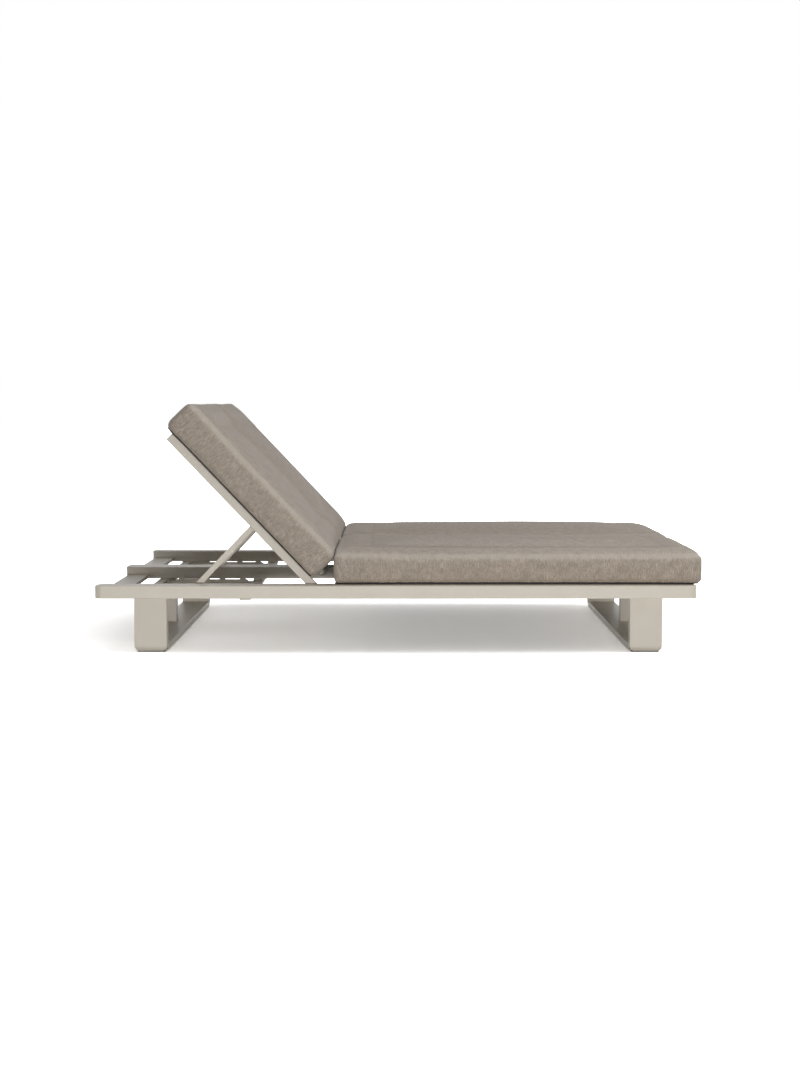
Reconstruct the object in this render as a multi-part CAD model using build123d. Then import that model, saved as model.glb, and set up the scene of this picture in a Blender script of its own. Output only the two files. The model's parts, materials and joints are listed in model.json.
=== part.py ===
from build123d import *
import math
import os

# Double chaise lounger: a welded aluminium frame, two reclining backs and loose box cushions.
# X runs from the head end to the foot end, Y from the near bed to the far bed, Z up.
# The origin is the centre of the footprint, on the floor. Millimetres and degrees.

# Rails: three long box tubes with rounded, welded end caps
rail_length = 2000.0
rail_height = 42.0
rail_wall = 3.0
rail_top = 230.0
rail_end_round = 25.0
rail_cap_depth = 60.0
side_rail_width = 85.0
middle_rail_width = 108.0
bay_width = 616.0
edge_round = 2.0

# Flat cross slats: a low one at the head end and a row under the seat, level with the rails
slat_width = 77.0
slat_thickness = 13.0
slat_wall = 2.0
slat_end_inset = 10.0
seat_slat_count = 8
seat_slats_from_pivot = 71.0

# Sled legs under both ends, with plastic glides
leg_width = 109.0
leg_side_inset = 60.0
head_leg_inset = 124.0
foot_leg_inset = 108.0
upright_thickness = 40.0
sled_bar_thickness = 22.0
sled_bar_wall = 3.0
sled_corner_round = 19.0
post_width = 55.0
post_depth = 48.0
post_wall = 3.0
post_inset = 4.0
glide_thickness = 3.0
glide_depth = 34.0
glide_inset = 8.0

# Recline pivots
pivot_from_head = 723.1
pivot_below_top = 16.5
rest_angle = 46.35
highest_angle = 62.35
bolt_radius = 5.0
bolt_head_radius = 9.0
bolt_head_thickness = 5.0
nut_radius = 8.0
nut_length = 12.0
spacer_thickness = 3.0
spacer_radius = 11.0

# Clearances
shaft_clearance = 0.05
running_gap = 0.3
tooth_clearance = 0.5
head_slat_clearance = 1.0
cushion_gap = 0.3
plug_clearance = 0.1

# Back frames
back_length = 700.0
back_bar_width = 22.0
back_bar_above = 19.0
back_bar_below = 9.0
back_bar_tail = 14.0
back_bar_wall = 2.5
plug_head = 3.0
plug_reach = 5.0
top_bar_width = 28.0
back_slat_width = 58.0
back_slat_thickness = 8.5
back_slat_wall = 1.5
back_slat_count = 7
first_slat_from_pivot = 34.0

# Props: two flat arms and a foot bar that stands in the ratchet
prop_length = 290.4
arm_width = 18.5
arm_thickness = 6.0
foot_bar_radius = 8.0
foot_bar_wall = 2.5
rivet_radius = 4.0
rivet_head_radius = 7.0
rivet_head_thickness = 3.0

# Ratchet trays: two transverse bars, and a toothed rack along each side of the bay
tray_bar_thickness = 12.0
tray_lap = 15.0
head_bar_from_head = 128.0
head_bar_width = 32.0
foot_bar_from_last_tooth = 33.0
foot_bar_width = 38.0
rack_inset = 40.0
rack_web = 6.0
flange_width = 40.0
flange_thickness = 3.0
rack_low_height = 7.0
tooth_root_height = 13.0
tooth_root_run = 6.0
first_tooth_from_head = 218.0
tooth_pitch = 75.0
tooth_count = 4
tooth_back = 17.0
tooth_front = 5.0
tooth_tip = 2.0
tooth_root_margin = 4.0
end_block_below_pivot = 2.5
end_block_round = 7.0

# Cushions
cushion_side_inset = 45.0
cushion_middle_gap = 3.0
side_draw_in = 5.0
crown_rise_length = 175.0
seat_cushion_from_pivot = 70.9
seat_cushion_overhang = 21.0
seat_cushion_thickness = 107.0
seat_cushion_crown = 38.0
seat_crown_at_ends = 6.0
seat_base_round = 24.0
seat_top_round = 30.0
back_cushion_from_pivot = 30.5
back_cushion_overhang = 44.5
back_cushion_thickness = 121.0
back_cushion_crown = 32.0
back_crown_at_ends = 1.0
back_base_round = 20.0
back_top_round = 28.0
back_low_end_round = 37.0
back_high_end_round = 30.0

# Shares: how much of a thickness a round may take, and where the crown's sections lie
round_share = 0.4
crown_place_shares = (0.3, 0.6, 1.0)
facet_angles = (0.0, 22.0, 44.0, 66.0)

# Places worked out from the sizes
rail_bottom = rail_top - rail_height
overall_length = rail_length + max(seat_cushion_overhang, 0)
seat_cushion_length = rail_length + seat_cushion_overhang - pivot_from_head - seat_cushion_from_pivot
back_cushion_length = back_length + back_cushion_overhang - back_cushion_from_pivot
head_x = -overall_length / 2
half_width = middle_rail_width / 2 + bay_width + side_rail_width
bay_centre = (middle_rail_width + bay_width) / 2
half_bay = bay_width / 2
pivot_x = head_x + pivot_from_head
pivot_z = rail_top - pivot_below_top
lean = math.radians(rest_angle)
bar_outer = half_bay - spacer_thickness - running_gap
bar_inner = bar_outer - back_bar_width
arm_outer = bar_inner - running_gap
arm_inner = arm_outer - arm_thickness
bar_depth = (-back_bar_below, back_bar_above)
head_slat_top = pivot_z - back_bar_below - head_slat_clearance
tray_bottom = rail_bottom - tray_bar_thickness
tooth_tip_z = pivot_z - foot_bar_radius - tooth_clearance
tooth_root_z = tray_bottom + tooth_root_height
rack_low_z = tray_bottom + rack_low_height
rack_start = head_bar_from_head + head_bar_width
last_tooth_from_head = first_tooth_from_head + (tooth_count - 1) * tooth_pitch
foot_bar_from_head = last_tooth_from_head + foot_bar_from_last_tooth
foot_leg_from_head = rail_length - foot_leg_inset - leg_width
leg_inner_face = half_width - leg_side_inset - upright_thickness
sides = {"near": -1, "far": 1}
nodes = {}


def keep(name, *shapes):
    """Store the solids of a node under its name."""
    nodes[name] = [solid for shape in shapes for solid in shape.solids()]


def along(start, length):
    """The X span of a length that begins at a distance from the rails' head end."""
    return (head_x + start, head_x + start + length)


def about(half, centre=0):
    """The span of a width about a centre."""
    return (centre - half, centre + half)


def block(*spans):
    """A box between three pairs of coordinates."""
    size = [high - low for low, high in spans]
    middle = [(high + low) / 2 for low, high in spans]
    return Pos(*middle) * Box(*size)


def bar(axis, *spans):
    """A box whose four edges along an axis are rounded."""
    solid = block(*spans)
    return fillet(solid.edges().filter_by(axis), edge_round)


def tube(axis, wall, *spans):
    """A box tube along an axis, open at both ends."""
    run = (Axis.X, Axis.Y, Axis.Z).index(axis)
    core = [s if n == run else (s[0] + wall, s[1] - wall) for n, s in enumerate(spans)]
    return bar(axis, *spans) - block(*core)


def rod(radius, y_ends, x, z):
    """A round bar along Y between two places."""
    length = abs(y_ends[1] - y_ends[0])
    return Pos(x, sum(y_ends) / 2, z) * Rot(X=90) * Cylinder(radius, length)


def rail_cap(width, centre, at_head):
    """A welded end cap: rounded corners in plan, hollow on the side of the rail."""
    start = 0 if at_head else rail_length - rail_cap_depth
    body = block(along(start, rail_cap_depth), about(width / 2, centre), (rail_bottom, rail_top))
    outer_face = body.faces().sort_by(Axis.X)[0 if at_head else -1]
    body = fillet(outer_face.edges().filter_by(Axis.Z), rail_end_round)
    mouth = body.faces().sort_by(Axis.X)[-1 if at_head else 0].center().X
    ends = body.faces().sort_by(Axis.Z)
    edges = [edge for face in (ends[0], ends[-1]) for edge in face.edges()]
    body = fillet([edge for edge in edges if abs(edge.center().X - mouth) > edge_round], edge_round)
    pocket_start = start + (rail_end_round if at_head else 0)
    pocket = block(
        along(pocket_start, rail_cap_depth - rail_end_round),
        about(width / 2 - rail_wall, centre),
        (rail_bottom + rail_wall, rail_top - rail_wall),
    )
    return body - pocket


def make_rails():
    """The side rails, the middle rail and their end caps."""
    run = along(rail_cap_depth, rail_length - 2 * rail_cap_depth)
    side_centre = half_width - side_rail_width / 2
    inner_face = half_width - side_rail_width
    side_caps = []
    for side, sign in sides.items():
        width_span = about(side_rail_width / 2, sign * side_centre)
        rail = tube(Axis.X, rail_wall, run, width_span, (rail_bottom, rail_top))
        hole = (sign * inner_face, sign * (inner_face + rail_wall))
        keep(f"side_rail_{side}", rail - rod(bolt_radius, hole, pivot_x, pivot_z))
        side_caps += [rail_cap(side_rail_width, sign * side_centre, end) for end in (True, False)]
    middle = tube(Axis.X, rail_wall, run, about(middle_rail_width / 2), (rail_bottom, rail_top))
    for sign in sides.values():
        hole = (sign * (middle_rail_width / 2 - rail_wall), sign * middle_rail_width / 2)
        middle -= rod(bolt_radius, hole, pivot_x, pivot_z)
    keep("middle_rail", middle)
    keep("side_rail_end_caps", *side_caps)
    keep("middle_rail_end_caps", *[rail_cap(middle_rail_width, 0, end) for end in (True, False)])


def cross_slat(start, top, centre):
    """A flat tubular slat across a bay."""
    height = (top - slat_thickness, top)
    return tube(Axis.Y, slat_wall, along(start, slat_width), about(half_bay, centre), height)


def make_slats(side, centre):
    """The low head slat and the row of slats under the seat."""
    keep(f"head_slat_{side}", cross_slat(slat_end_inset, head_slat_top, centre))
    first = pivot_from_head + seat_slats_from_pivot
    last = rail_length - slat_end_inset - slat_width
    pitch = (last - first) / (seat_slat_count - 1)
    places = [first + number * pitch for number in range(seat_slat_count)]
    keep(f"seat_slats_{side}", *[cross_slat(place, rail_top, centre) for place in places])


def rack_points():
    """The outline of a toothed rack in X and Z, from the foot of its head end."""
    root_start = first_tooth_from_head - tooth_tip - tooth_back - tooth_root_margin
    root_end = last_tooth_from_head + tooth_front + tooth_root_margin
    points = [
        (rack_start, tray_bottom),
        (rack_start, rack_low_z),
        (root_start - tooth_root_run, rack_low_z),
        (root_start, tooth_root_z),
    ]
    for number in range(tooth_count):
        tip = first_tooth_from_head + number * tooth_pitch
        points += [
            (tip - tooth_tip - tooth_back, tooth_root_z),
            (tip - tooth_tip, tooth_tip_z),
            (tip, tooth_tip_z),
            (tip + tooth_front, tooth_root_z),
        ]
    points += [
        (root_end, tooth_root_z),
        (root_end + tooth_root_run, rack_low_z),
        (foot_bar_from_head, rack_low_z),
        (foot_bar_from_head, tray_bottom),
    ]
    return [(head_x + x, z) for x, z in points]


def toothed_rack(outer_y, inward):
    """A toothed web with a flange turned into the bay along its foot."""
    outline = make_face(Polyline(*rack_points(), close=True))
    web = extrude(Plane.XZ * outline, rack_web / 2, both=True)
    web = Pos(0, outer_y + inward * rack_web / 2, 0) * web
    flange_y = sorted((outer_y + inward * rack_web, outer_y + inward * flange_width))
    flange_run = along(rack_start, foot_bar_from_head - rack_start)
    return web + block(flange_run, flange_y, (tray_bottom, tray_bottom + flange_thickness))


def end_block(outer_y, inward):
    """The stop at the foot end of a rack, standing on the tray's foot bar."""
    top = pivot_z - end_block_below_pivot
    solid = block(
        along(foot_bar_from_head, foot_bar_width),
        sorted((outer_y, outer_y + inward * rack_web)),
        (rail_bottom, top),
    )
    corner = solid.edges().filter_by(Axis.Y).group_by(Axis.Z)[-1].sort_by(Axis.X)[0]
    return fillet(corner, min(end_block_round, (top - rail_bottom) / 2))


def make_tray(side, sign):
    """The ratchet tray of one bay."""
    height = (tray_bottom, rail_bottom)
    head_ends = sorted((sign * leg_inner_face, sign * post_depth / 2))
    head_bar = bar(Axis.Y, along(head_bar_from_head, head_bar_width), head_ends, height)
    keep(f"tray_head_bar_{side}", head_bar)
    foot_ends = about(half_bay + tray_lap, sign * bay_centre)
    foot_bar = bar(Axis.Y, along(foot_bar_from_head, foot_bar_width), foot_ends, height)
    keep(f"tray_foot_bar_{side}", foot_bar)
    edges = [(sign * bay_centre + edge * (half_bay - rack_inset), -edge) for edge in (-1, 1)]
    keep(f"toothed_racks_{side}", *[toothed_rack(*edge) for edge in edges])
    keep(f"rack_end_blocks_{side}", *[end_block(*edge) for edge in edges])


def upright(start, sign):
    """A flat leg under a side rail, rounded at its outer foot."""
    face = half_width - leg_side_inset
    width_span = sorted((sign * face, sign * leg_inner_face))
    body = bar(Axis.Z, along(start, leg_width), width_span, (glide_thickness, rail_bottom))
    foot_edges = body.edges().filter_by(Axis.X).group_by(Axis.Z)[0]
    outer_edge = foot_edges.sort_by(Axis.Y)[0 if sign < 0 else -1]
    return fillet(outer_edge, sled_corner_round)


def glide(start, y):
    """A plastic glide under a sled."""
    run = along(start + glide_inset, leg_width - 2 * glide_inset)
    return block(run, about(glide_depth / 2, y), (0, glide_thickness))


def make_leg(end, start, post_start):
    """A sled leg: two uprights, a bar on the floor and a post under the middle rail."""
    bar_top = glide_thickness + sled_bar_thickness
    for side, sign in sides.items():
        keep(f"{end}_leg_upright_{side}", upright(start, sign))
    floor_span = (glide_thickness, bar_top)
    floor_bar = tube(Axis.Y, sled_bar_wall, along(start, leg_width), about(leg_inner_face), floor_span)
    keep(f"{end}_leg_floor_bar", floor_bar)
    post_span = about(post_depth / 2)
    post = tube(Axis.Z, post_wall, along(post_start, post_width), post_span, (bar_top, rail_bottom))
    keep(f"{end}_leg_middle_post", post)
    reach = half_width - leg_side_inset - sled_corner_round - glide_depth / 2
    return [glide(start, y) for y in (-reach, 0, reach)]


def make_pivots(side, centre):
    """The bolts, nuts and spacers of the two pivots of one back."""
    bolts = []
    nuts = []
    spacers = []
    for edge in (-1, 1):
        face = centre + edge * half_bay
        nut_ends = (face + edge * rail_wall, face + edge * (rail_wall + nut_length))
        head_ends = (centre + edge * (arm_outer - bolt_head_thickness), centre + edge * arm_outer)
        spacer_ends = (face - edge * spacer_thickness, face)
        shank = rod(bolt_radius, (head_ends[1], nut_ends[1]), pivot_x, pivot_z)
        bolts.append(shank + rod(bolt_head_radius, head_ends, pivot_x, pivot_z))
        nuts.append(rod(nut_radius, nut_ends, pivot_x, pivot_z) - shank)
        spacers.append(rod(spacer_radius, spacer_ends, pivot_x, pivot_z) - shank)
    keep(f"pivot_bolts_{side}", *bolts)
    keep(f"pivot_nuts_{side}", *nuts)
    keep(f"pivot_spacers_{side}", *spacers)


def leaning_place(y):
    """The place of a back: X runs up it from the pivot, and Z out of its front."""
    up_the_back = (-math.cos(lean), 0, math.sin(lean))
    out_of_front = (math.sin(lean), 0, math.cos(lean))
    return Plane(origin=(pivot_x, y, pivot_z), x_dir=up_the_back, z_dir=out_of_front).location


def back_side_bar(edge):
    """A side bar: a box tube with a pivot hole and a rivet hole."""
    run = (plug_head - back_bar_tail, back_length - plug_head)
    faces = sorted((edge * bar_outer, edge * bar_inner))
    body = tube(Axis.X, back_bar_wall, run, faces, bar_depth)
    body -= rod(bolt_radius + shaft_clearance, faces, 0, 0)
    return body - rod(rivet_radius, faces, prop_length, 0)


def back_bar_plug(edge, at_top):
    """The plug in one end of a side bar."""
    faces = sorted((edge * bar_outer, edge * bar_inner))
    inset = back_bar_wall + plug_clearance
    inward = -1 if at_top else 1
    outer = back_length if at_top else -back_bar_tail
    tube_end = outer + inward * plug_head
    head = bar(Axis.X, sorted((outer, tube_end)), faces, bar_depth)
    core_faces = (faces[0] + inset, faces[1] - inset)
    core_depth = (bar_depth[0] + inset, bar_depth[1] - inset)
    return head + block(sorted((tube_end, tube_end + inward * plug_reach)), core_faces, core_depth)


def back_slats():
    """The thin slats between the side bars, level with their front."""
    last = back_length - top_bar_width
    gap = (last - first_slat_from_pivot) / back_slat_count - back_slat_width
    depth = (back_bar_above - back_slat_thickness, back_bar_above)
    slats = []
    for number in range(back_slat_count):
        start = first_slat_from_pivot + number * (back_slat_width + gap)
        slats.append(tube(Axis.Y, back_slat_wall, (start, start + back_slat_width), about(bar_inner), depth))
    return slats


def rivet(edge):
    """A prop rivet: its head lies inside the arm, its shank crosses the arm and the bar."""
    head_face = arm_inner - running_gap
    head_ends = (edge * (head_face - rivet_head_thickness), edge * head_face)
    shank_ends = (edge * head_face, edge * bar_outer)
    return rod(rivet_head_radius, head_ends, prop_length, 0) + rod(rivet_radius, shank_ends, prop_length, 0)


def make_back(side, sign):
    """The frame of one back, leaning at its rest angle."""
    # Seen up the back, Y runs the other way, so the near bed's outer bar is at plus
    place = leaning_place(sign * bay_centre)
    keep(f"back_bar_outer_{side}", place * back_side_bar(-sign))
    keep(f"back_bar_inner_{side}", place * back_side_bar(sign))
    keep(f"back_bar_plugs_{side}", *[place * back_bar_plug(e, t) for e in (-1, 1) for t in (True, False)])
    top_span = (back_length - top_bar_width, back_length)
    keep(f"back_top_bar_{side}", place * tube(Axis.Y, back_bar_wall, top_span, about(bar_inner), bar_depth))
    keep(f"back_slats_{side}", *[place * slat for slat in back_slats()])
    keep(f"prop_rivets_{side}", *[place * rivet(edge) for edge in (-1, 1)])


def prop_arm(edge):
    """A flat arm with round ends, drawn with X from the rivet to the foot."""
    outline = SlotCenterToCenter(prop_length, arm_width)
    arm = extrude(Plane.XZ * Pos(prop_length / 2, 0) * outline, arm_thickness / 2, both=True)
    arm = Pos(0, edge * (arm_outer + arm_inner) / 2, 0) * arm
    return arm - rod(rivet_radius + shaft_clearance, (edge * arm_inner, edge * arm_outer), 0, 0)


def make_prop(side, sign):
    """The prop of one back, from its rivets down to its foot in the ratchet."""
    rivet_x = pivot_x - prop_length * math.cos(lean)
    rivet_z = pivot_z + prop_length * math.sin(lean)
    to_foot = (-math.cos(lean), 0, -math.sin(lean))
    upward = (-math.sin(lean), 0, math.cos(lean))
    place = Plane(origin=(rivet_x, sign * bay_centre, rivet_z), x_dir=to_foot, z_dir=upward).location
    keep(f"prop_arms_{side}", *[place * prop_arm(edge) for edge in (-1, 1)])
    ends = (-arm_inner, arm_inner)
    bore = rod(foot_bar_radius - foot_bar_wall, ends, prop_length, 0)
    keep(f"prop_foot_bar_{side}", place * (rod(foot_bar_radius, ends, prop_length, 0) - bore))


def fall(distance, radius):
    """How far a rounded edge has fallen away at a distance from the end."""
    if distance >= radius:
        return 0
    return radius - math.sqrt(radius**2 - (radius - distance) ** 2)


def corner_arc(start, centre, end):
    """A quarter round from start to end about a centre."""
    middle = [(a + b) / 2 - c for a, b, c in zip(start, end, centre)]
    stretch = math.dist(start, centre) / math.hypot(*middle)
    through = [c + stretch * m for c, m in zip(centre, middle)]
    return ThreePointArc(start, tuple(through), end)


def section(x, half, bottom, top, crown, base_round, top_round):
    """One cross section: a flat base, rounded edges, straight boxing and a crowned top."""
    low = min(base_round, round_share * (top - bottom))
    high = min(top_round, round_share * (top - bottom))
    outline = [
        Line((low - half, bottom), (half - low, bottom)),
        corner_arc((half - low, bottom), (half - low, bottom + low), (half, bottom + low)),
        Line((half, bottom + low), (half, top - high)),
        corner_arc((half, top - high), (half - high, top - high), (half - high, top)),
        ThreePointArc((half - high, top), (0, top + crown), (high - half, top)),
        corner_arc((high - half, top), (high - half, top - high), (-half, top - high)),
        Line((-half, top - high), (-half, bottom + low)),
        corner_arc((-half, bottom + low), (low - half, bottom + low), (low - half, bottom)),
    ]
    return Plane.YZ.offset(x) * make_face(outline)


def box_cushion(length, width, thickness, crowns, edge_rounds, end_rounds):
    """A crowned box cushion with drawn-in sides and rounded ends, drawn with X along it."""
    low_crown, high_crown = crowns
    ends = [min(radius, round_share * thickness) for radius in end_rounds]
    starts = [ends[0] * (1 - math.cos(math.radians(a))) for a in facet_angles] + [ends[0]]
    finishes = [ends[1] * (1 - math.cos(math.radians(a))) for a in facet_angles] + [ends[1]]
    rise_in = [ends[0] + share * (crown_rise_length - ends[0]) for share in crown_place_shares]
    rise_out = [ends[1] + share * (crown_rise_length - ends[1]) for share in crown_place_shares]
    places = starts + rise_in + [length / 2] + [length - x for x in reversed(finishes + rise_out)]
    sections = []
    for x in places:
        drop = max(fall(x, ends[0]), fall(length - x, ends[1]))
        rise = min(
            (x - ends[0]) / (crown_rise_length - ends[0]),
            (length - x - ends[1]) / (crown_rise_length - ends[1]),
            1,
        )
        lift = low_crown + (high_crown - low_crown) * math.sin(math.pi / 2 * max(rise, 0))
        half = width / 2 - drop - side_draw_in * math.sin(math.pi * x / length)
        sections.append(section(x, half, drop, thickness - drop, lift, *edge_rounds))
    return loft(sections, ruled=True)


def make_cushions():
    """The two seat cushions and the two back cushions."""
    width = half_width - cushion_side_inset - cushion_middle_gap / 2
    centre = (width + cushion_middle_gap) / 2
    seat = box_cushion(
        seat_cushion_length,
        width,
        seat_cushion_thickness,
        (seat_crown_at_ends, seat_cushion_crown),
        (seat_base_round, seat_top_round),
        (seat_top_round, seat_top_round),
    )
    back = box_cushion(
        back_cushion_length,
        width,
        back_cushion_thickness,
        (back_crown_at_ends, back_cushion_crown),
        (back_base_round, back_top_round),
        (back_low_end_round, back_high_end_round),
    )
    for side, sign in sides.items():
        seat_x = pivot_x + seat_cushion_from_pivot
        keep(f"seat_cushion_{side}", Pos(seat_x, sign * centre, rail_top + cushion_gap) * seat)
        lifted = Pos(back_cushion_from_pivot, 0, back_bar_above + cushion_gap) * back
        keep(f"back_cushion_{side}", leaning_place(sign * centre) * lifted)


def print_checks():
    """Print the clearances that the moving pieces depend on."""
    reach = 2 * prop_length
    feet = [pivot_from_head - reach * math.cos(math.radians(a)) for a in (0, rest_angle, highest_angle)]
    print("foot bar from the head end: flat %.1f, rest %.1f, highest %.1f" % tuple(feet))
    print("foot bar before the end block %.2f" % (foot_bar_from_head - feet[2] - foot_bar_radius))
    print("foot bar over the tooth tips %.2f" % (pivot_z - foot_bar_radius - tooth_tip_z))
    print("folded arms after the head slat %.2f" % (feet[0] - arm_width / 2 - slat_end_inset - slat_width))
    print("back slats over the folded arms %.2f" % (back_bar_above - back_slat_thickness - arm_width / 2))
    print("back slats over the foot bar %.2f" % (back_bar_above - back_slat_thickness - foot_bar_radius))
    tail = math.hypot(back_bar_tail, back_bar_above)
    print("bar tails over the rails' underside %.2f" % (pivot_z - tail - rail_bottom))
    print("width %.1f, length %.1f" % (2 * half_width, overall_length))
    total = sum(solid.volume for solids in nodes.values() for solid in solids)
    print("nodes %d, solids %d, volume %.0f" % (len(nodes), sum(len(s) for s in nodes.values()), total))


make_rails()
for side, sign in sides.items():
    make_slats(side, sign * bay_centre)
    make_tray(side, sign)
    make_pivots(side, sign * bay_centre)
    make_back(side, sign)
    make_prop(side, sign)
foot_post_from_head = foot_leg_from_head + leg_width - post_inset - post_width
glides = make_leg("head", head_leg_inset, head_leg_inset + post_inset)
glides += make_leg("foot", foot_leg_from_head, foot_post_from_head)
keep("floor_glides", *glides)
make_cushions()
print_checks()

os.makedirs("parts", exist_ok=True)
for name, solids in nodes.items():
    shape = solids[0] if len(solids) == 1 else Compound(children=solids)
    export_step(shape, os.path.join("parts", f"{name}.step"))
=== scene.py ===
# %% [markdown]
# A double chaise lounger is a low powder-coated aluminium frame with two reclining backs, and four
# box cushions lie on it. The frame comes ready as measured solids, so this notebook dresses it:
# camera and light first, then the metal finishes, then the cushions, which are the soft and
# difficult part, and at last the seams, stitches and welds. Everything is in metres. X runs from
# the head end to the foot end, Y from the near bed to the far bed, and Z up from the floor.

# %% Load the frame
import json
import math

import bmesh
import bpy
import numpy as np
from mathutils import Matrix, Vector
from mathutils.bvhtree import BVHTree
from mathutils.kdtree import KDTree


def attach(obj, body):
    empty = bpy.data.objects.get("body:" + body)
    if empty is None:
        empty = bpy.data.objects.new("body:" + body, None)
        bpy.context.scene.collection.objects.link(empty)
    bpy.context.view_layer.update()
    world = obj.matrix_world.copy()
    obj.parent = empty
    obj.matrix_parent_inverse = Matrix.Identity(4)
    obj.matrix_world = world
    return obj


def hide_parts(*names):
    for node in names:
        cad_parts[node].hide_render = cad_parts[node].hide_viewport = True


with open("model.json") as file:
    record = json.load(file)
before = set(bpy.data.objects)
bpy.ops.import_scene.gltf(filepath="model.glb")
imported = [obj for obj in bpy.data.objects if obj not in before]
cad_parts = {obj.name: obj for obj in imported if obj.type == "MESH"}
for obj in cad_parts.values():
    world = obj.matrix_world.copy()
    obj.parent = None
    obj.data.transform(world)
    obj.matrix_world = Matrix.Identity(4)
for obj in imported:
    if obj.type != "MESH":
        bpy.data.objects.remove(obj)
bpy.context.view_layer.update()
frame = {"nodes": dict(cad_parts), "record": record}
nodes = frame["nodes"]
slot_of = {part["node"]: part["material_slot"] for part in frame["record"]["subparts"]}
scene = bpy.context.scene

# %% [markdown]
# The picture is a catalogue view from the side: a long lens far away, at about the height of the
# raised backs, tilted a little down. A tilt keeps the lounger in the middle of every other view
# too, which a shifted lens wouldn't. The numbers come from the rails, whose ends and edges can be
# found in the picture to half a pixel.

# %% Camera
lens_length = 61.2
camera_place = (0.0032, -6.7305, 0.834)
tilt_down = 4.109
camera_data = bpy.data.cameras.new("studio_camera")
camera_data.lens = lens_length
camera = bpy.data.objects.new("studio_camera", camera_data)
camera.location = camera_place
camera.rotation_euler = (math.radians(90.0 - tilt_down), 0.0, 0.0)
scene.collection.objects.link(camera)
scene.camera = camera
scene.view_settings.view_transform = "Standard"
print("camera height", camera.location.z, "lens", camera_data.lens)

# %% [markdown]
# Colours are written as sRGB hex values, as a colour picker shows them, and Blender's shaders
# work with linear light, so one function turns the one into the other. Another adds a node with
# its settings and links, because every finish below is a tree of nodes, and a few short ones
# after it make the nodes that most finishes share.


# %% Helpers for colours and nodes
def hex_colour(code):
    """A colour such as "C8C0B4" as linear red, green, blue and an alpha of 1."""
    parts = [int(code[i : i + 2], 16) / 255 for i in (0, 2, 4)]
    linear = [p / 12.92 if p <= 0.04045 else ((p + 0.055) / 1.055) ** 2.4 for p in parts]
    return (*linear, 1.0)


def fill(tree, node, links):
    """Fills a node's inputs with values or with other nodes' outputs."""
    for key, source in links.items():
        if isinstance(source, bpy.types.NodeSocket):
            tree.links.new(source, node.inputs[key])
        else:
            node.inputs[key].default_value = source


def add_node(tree, kind, links=None, **settings):
    """Adds a node, sets its settings, and fills its inputs."""
    node = tree.nodes.new(kind)
    for name, value in settings.items():
        setattr(node, name, value)
    fill(tree, node, links or {})
    return node


def maths(tree, operation, *values):
    """The result of a sum, product or the like."""
    return add_node(
        tree, "ShaderNodeMath", dict(enumerate(values)), operation=operation
    ).outputs[0]


def mapped(tree, value, from_span, to_span):
    """A value moved from one span to another and held inside it."""
    spans = dict(zip(("From Min", "From Max", "To Min", "To Max"), (*from_span, *to_span)))
    return add_node(tree, "ShaderNodeMapRange", {"Value": value, **spans}).outputs["Result"]


def noise_cells(tree, place, cell, detail):
    """Soft noise in cells of this size in metres."""
    settings = {"Vector": place, "Scale": 1 / cell, "Detail": detail}
    return add_node(tree, "ShaderNodeTexNoise", settings).outputs["Fac"]


def blended(tree, share, low, high):
    """A colour between two others, each a hex colour or another node's output."""
    low, high = (hex_colour(end) if isinstance(end, str) else end for end in (low, high))
    ends = {0: share, 6: low, 7: high}
    return add_node(tree, "ShaderNodeMix", ends, data_type="RGBA").outputs[2]


def relief(tree, height, strength, distance):
    """A surface direction that follows this height."""
    settings = {"Strength": strength, "Distance": distance, "Height": height}
    return add_node(tree, "ShaderNodeBump", settings).outputs["Normal"]


def new_material(name):
    """An empty node material, its tree, and its Principled shader, already linked to the output."""
    material = bpy.data.materials.new(name)
    material.use_nodes = True
    tree = material.node_tree
    tree.nodes.clear()
    shader = add_node(tree, "ShaderNodeBsdfPrincipled")
    add_node(tree, "ShaderNodeOutputMaterial", {"Surface": shader.outputs["BSDF"]})
    return material, tree, shader


# %% [markdown]
# The light is a white studio: a dim pale world that fills every shadow, a long soft box on the
# floor far in front of the lounger, one overhead on the right, and a weaker one behind, for the
# views from the back. The low one in front lights the outer faces and leaves what lies behind the
# near rail dark, as in the picture. Their sum is kept at a plain level, at which a colour renders
# about as it is written. Camera and mirror rays see a pure white world instead of the fill.


# %% World and soft boxes
def seen_white(tree, low, high):
    """A value that is high for camera, mirror and glass rays, and low for light on a surface."""
    ray = add_node(tree, "ShaderNodeLightPath").outputs
    mirror = maths(tree, "MAXIMUM", ray["Is Camera Ray"], ray["Is Glossy Ray"])
    seen = maths(tree, "MAXIMUM", mirror, ray["Is Transmission Ray"])
    return mapped(tree, seen, (0.0, 1.0), (low, high))


world = bpy.data.worlds.new("white_studio")
scene.world = world
world.use_nodes = True
sky = world.node_tree
sky.nodes.clear()
white = (1.0, 1.0, 1.0, 1.0)
fill_share = 0.24
backdrop = {"Color": white, "Strength": seen_white(sky, fill_share, 1.0)}
background = add_node(sky, "ShaderNodeBackground", backdrop)
add_node(sky, "ShaderNodeOutputWorld", {"Surface": background.outputs["Background"]})


def soft_box(name, place, target, size, share):
    """A lamp that lights a surface facing it, at the target, to this share of its colour."""
    throw = Vector(target) - Vector(place)
    data = bpy.data.lights.new(name, "AREA")
    data.shape = "RECTANGLE"
    data.size, data.size_y = size
    data.energy = share * math.pi**2 * throw.length_squared
    lamp = bpy.data.objects.new(name, data)
    lamp.location = place
    lamp.rotation_euler = throw.to_track_quat("-Z", "Y").to_euler()
    lamp.visible_camera = False
    scene.collection.objects.link(lamp)
    print(name, round(data.energy, 1), "watts")


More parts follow.
